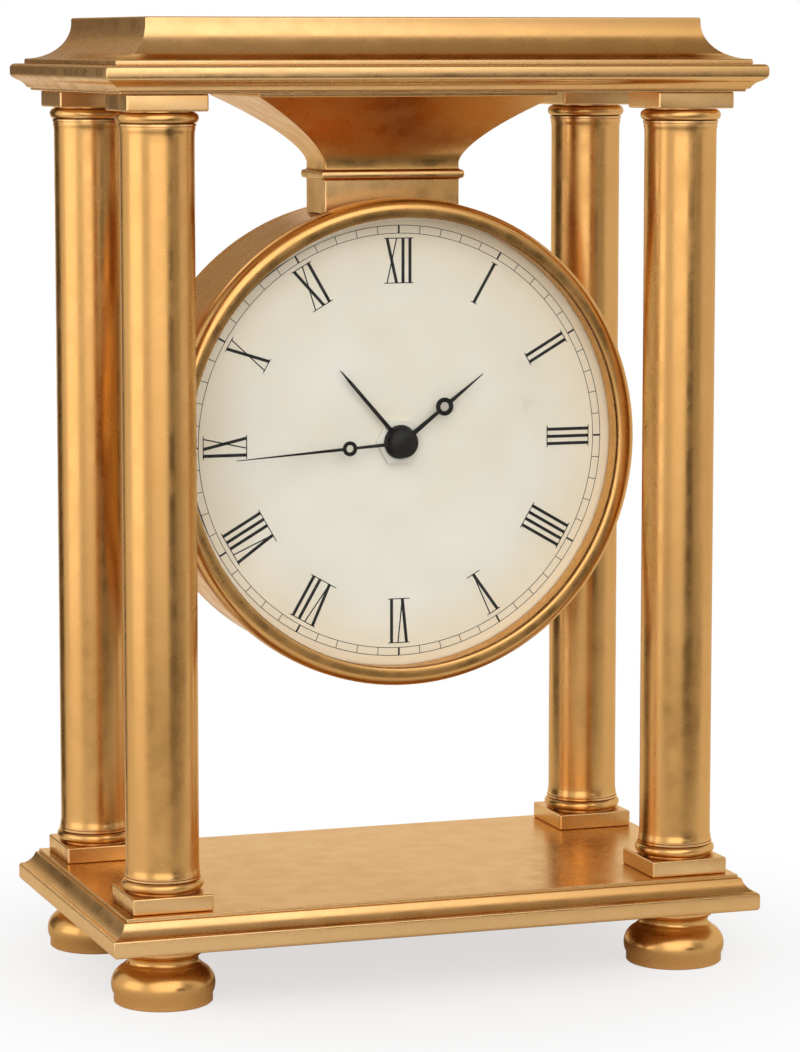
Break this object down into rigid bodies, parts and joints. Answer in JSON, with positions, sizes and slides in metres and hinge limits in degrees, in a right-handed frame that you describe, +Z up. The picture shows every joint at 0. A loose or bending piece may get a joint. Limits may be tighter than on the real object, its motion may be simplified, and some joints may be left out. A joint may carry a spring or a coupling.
{
  "type": "four column table clock",
  "caption": "Gilt bronze table clock: round enamel dial in a drum hung from the upper of two moulded plates, which round columns on bun feet hold apart; battery alarm movement inside.",
  "frame": {"origin": "On the table, under the middle of the clock, at the underside of the feet.", "axes": "+Z up, +X to the right of someone facing the dial, +Y from the dial to the back; the dial faces -Y."},
  "size_m": [0.162, 0.094, 0.23],
  "materials": {
    "gilt_bronze": "fire-gilt bronze, burnished to a soft mirror",
    "bright_steel": "plain turned steel",
    "plain_brass": "unplated turned brass",
    "blackened_metal": "thin black lacquer on stamped metal",
    "white_enamel": "white vitreous enamel on copper",
    "clear_glass": "clear flat glass",
    "black_plastic": "moulded, fine matt grain",
    "pale_nylon": "moulded natural nylon",
    "board_green": "solder-resist green laminate",
    "copper_wire": "enamelled copper winding on a soft iron core",
    "cell_jacket": "plain printed steel jacket",
    "switch_red": "moulded, semi gloss"
  },
  "bodies": {
    "clock_frame": {"base_plate": "gilt_bronze", "top_plate": "gilt_bronze", "top_cornice": "gilt_bronze", "foot_front_left": "gilt_bronze", "column_base_front_left": "gilt_bronze", "column_shaft_front_left": "gilt_bronze", "column_capital_front_left": "gilt_bronze", "tie_bolt_front_left": "bright_steel", "foot_front_right": "gilt_bronze", "column_base_front_right": "gilt_bronze", "column_shaft_front_right": "gilt_bronze", "column_capital_front_right": "gilt_bronze", "tie_bolt_front_right": "bright_steel", "foot_back_left": "gilt_bronze", "column_base_back_left": "gilt_bronze", "column_shaft_back_left": "gilt_bronze", "column_capital_back_left": "gilt_bronze", "tie_bolt_back_left": "bright_steel", "foot_back_right": "gilt_bronze", "column_base_back_right": "gilt_bronze", "column_shaft_back_right": "gilt_bronze", "column_capital_back_right": "gilt_bronze", "tie_bolt_back_right": "bright_steel", "hanger": "gilt_bronze", "hanger_bolt": "bright_steel", "hanger_nut": "bright_steel", "drum_case": "gilt_bronze", "bezel": "gilt_bronze", "crystal": "clear_glass", "dial": "white_enamel", "fixing_nut": "plain_brass", "rear_cover": "gilt_bronze", "rear_cover_screw_1": "bright_steel", "rear_cover_screw_2": "bright_steel", "rear_cover_screw_3": "bright_steel", "movement_case": "black_plastic", "train_plate": "pale_nylon", "movement_cover": "black_plastic", "stator_coil": "copper_wire", "circuit_board": "board_green", "buzzer": "plain_brass", "battery_contact_positive": "bright_steel", "battery_contact_negative": "bright_steel"},
    "minute_work": {"minute_arbor": "bright_steel", "minute_hand": "blackened_metal", "centre_cap": "blackened_metal"},
    "motion_work": {"motion_wheel": "pale_nylon", "time_set_knob": "black_plastic"},
    "hour_work": {"hour_wheel": "pale_nylon", "hour_hand": "blackened_metal"},
    "alarm_work": {"alarm_wheel": "pale_nylon", "alarm_hand": "blackened_metal"},
    "alarm_setter": {"alarm_set_knob": "black_plastic"},
    "motor_rotor": {"rotor": "bright_steel"},
    "fifth_arbor": {"fifth_wheel": "pale_nylon"},
    "seconds_arbor": {"seconds_wheel": "pale_nylon"},
    "third_arbor": {"third_wheel": "pale_nylon"},
    "centre_arbor": {"centre_wheel": "plain_brass"},
    "alarm_slider": {"alarm_switch": "switch_red"},
    "cell": {"battery": "cell_jacket"}
  },
  "joints": [
    {"name": "minute_turn", "type": "hinge", "parent": "clock_frame", "child": "minute_work", "pos_m": [0, 0, 0.1285], "axis": [0, 1, 0], "continuous": true},
    {"name": "motion_turn", "type": "hinge", "parent": "clock_frame", "child": "motion_work", "pos_m": [0.01128, 0, 0.1326], "axis": [0, 1, 0], "continuous": true},
    {"name": "hour_turn", "type": "hinge", "parent": "clock_frame", "child": "hour_work", "pos_m": [0, 0, 0.1285], "axis": [0, 1, 0], "continuous": true},
    {"name": "alarm_turn", "type": "hinge", "parent": "clock_frame", "child": "alarm_work", "pos_m": [0, 0, 0.1285], "axis": [0, 1, 0], "continuous": true},
    {"name": "alarm_knob_turn", "type": "hinge", "parent": "clock_frame", "child": "alarm_setter", "pos_m": [-0.01159, 0, 0.12539], "axis": [0, 1, 0], "continuous": true},
    {"name": "rotor_turn", "type": "hinge", "parent": "clock_frame", "child": "motor_rotor", "pos_m": [0.01853, 0, 0.14583], "axis": [0, 1, 0], "continuous": true},
    {"name": "fifth_turn", "type": "hinge", "parent": "clock_frame", "child": "fifth_arbor", "pos_m": [0.01133, 0, 0.14583], "axis": [0, 1, 0], "continuous": true},
    {"name": "seconds_turn", "type": "hinge", "parent": "clock_frame", "child": "seconds_arbor", "pos_m": [0.00343, 0, 0.14295], "axis": [0, 1, 0], "continuous": true},
    {"name": "third_turn", "type": "hinge", "parent": "clock_frame", "child": "third_arbor", "pos_m": [-0.0054, 0, 0.13785], "axis": [0, 1, 0], "continuous": true},
    {"name": "centre_turn", "type": "hinge", "parent": "clock_frame", "child": "centre_arbor", "pos_m": [0, 0, 0.1285], "axis": [0, 1, 0], "continuous": true},
    {"name": "alarm_switch_slide", "type": "slide", "parent": "clock_frame", "child": "alarm_slider", "axis": [1, 0, 0], "range_m": [0, 0.004]},
    {"name": "battery_slide", "type": "slide", "parent": "clock_frame", "child": "cell", "axis": [0, 1, 0], "range_m": [0, 0.03]}
  ],
  "couplings": [
    {"joint": "motion_turn", "follows": "minute_turn", "ratio": -0.33333},
    {"joint": "hour_turn", "follows": "minute_turn", "ratio": 0.083333},
    {"joint": "alarm_knob_turn", "follows": "alarm_turn", "ratio": -4},
    {"joint": "fifth_turn", "follows": "rotor_turn", "ratio": -0.2},
    {"joint": "seconds_turn", "follows": "rotor_turn", "ratio": 0.033333},
    {"joint": "third_turn", "follows": "rotor_turn", "ratio": -0.0044444},
    {"joint": "centre_turn", "follows": "rotor_turn", "ratio": 0.00055556}
  ]
}
